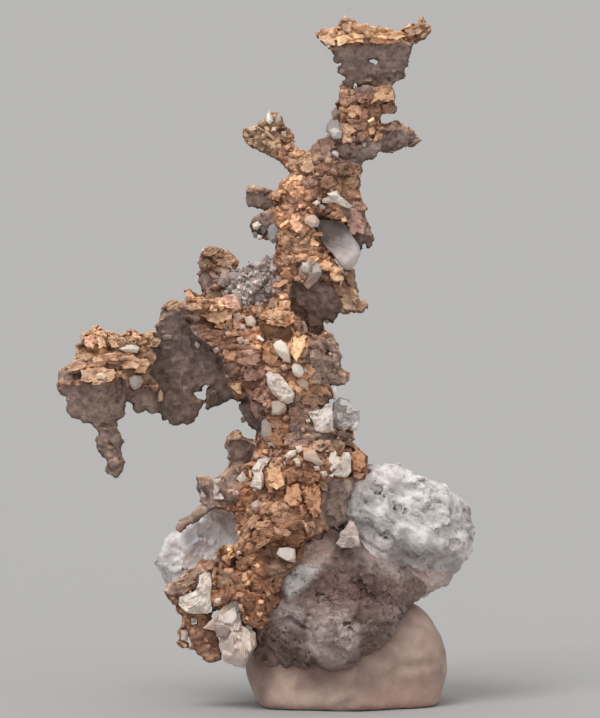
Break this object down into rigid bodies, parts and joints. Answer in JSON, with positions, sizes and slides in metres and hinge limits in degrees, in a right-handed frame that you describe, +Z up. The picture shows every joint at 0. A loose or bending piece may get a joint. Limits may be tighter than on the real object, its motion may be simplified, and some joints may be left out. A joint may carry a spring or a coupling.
{
  "type": "native copper specimen on matrix",
  "caption": "Branching hackly native copper with white calcite grains, grown from a small lump of pale grey and purple-grey rock that stands on its flat broken foot.",
  "frame": {"origin": "on the flat broken face that the specimen stands on, under the middle of the rock", "axes": "+Z up along the copper tree, +X to the right of the head plate's broad face, -Y out of the face seen first"},
  "size_m": [0.0348, 0.018, 0.0573],
  "materials": {
    "copper_bright": "hackly native copper, orange to golden tan where fresh, brown in the hollows",
    "copper_dark": "tarnished native copper, brown to purple-brown, brighter on its edges",
    "calcite": "white to cream cleaved calcite, slightly translucent",
    "calcite_grey": "grey clouded calcite, softly glossy",
    "crystal_grey": "silvery grey druse of tiny bright crystals",
    "rock_pale": "pale grey rough rock with a white vein and pits",
    "rock_purple": "purple-grey fine-grained rock with glittery patches",
    "rock_foot": "smooth whitish-beige rounded calcite lump"
  },
  "bodies": {
    "root": {"calcite_back_high": "calcite", "calcite_back_lower": "calcite", "calcite_back_upper": "calcite", "calcite_chip": "calcite", "calcite_cloud": "calcite_grey", "calcite_crystal_beige": "calcite", "calcite_foot_grain": "calcite", "calcite_grain_big": "calcite", "calcite_grain_left": "calcite", "calcite_grain_mid": "calcite", "calcite_grain_right": "calcite", "calcite_grain_upper": "calcite", "calcite_grey_cluster": "calcite_grey", "calcite_low_left": "calcite", "calcite_ridge": "calcite", "calcite_wedge": "calcite", "copper_arm_knob": "copper_dark", "copper_dark_blade": "copper_dark", "copper_head": "copper_dark", "copper_left_arm": "copper_bright", "copper_left_flake_lower": "copper_dark", "copper_left_flake_upper": "copper_dark", "copper_left_spur": "copper_dark", "copper_left_twigs": "copper_dark", "copper_low_left_flake": "copper_bright", "copper_low_left_ridge": "copper_dark", "copper_right_flake": "copper_bright", "copper_right_plate": "copper_dark", "copper_right_stub": "copper_dark", "copper_trunk_lower": "copper_bright", "copper_trunk_upper": "copper_bright", "copper_upper_left_branch": "copper_bright", "grey_crystal_patch": "crystal_grey", "matrix_core": "rock_purple", "matrix_left_lobe": "rock_pale", "matrix_right_lobe": "rock_pale", "pale_foot": "rock_foot"}
  },
  "joints": []
}
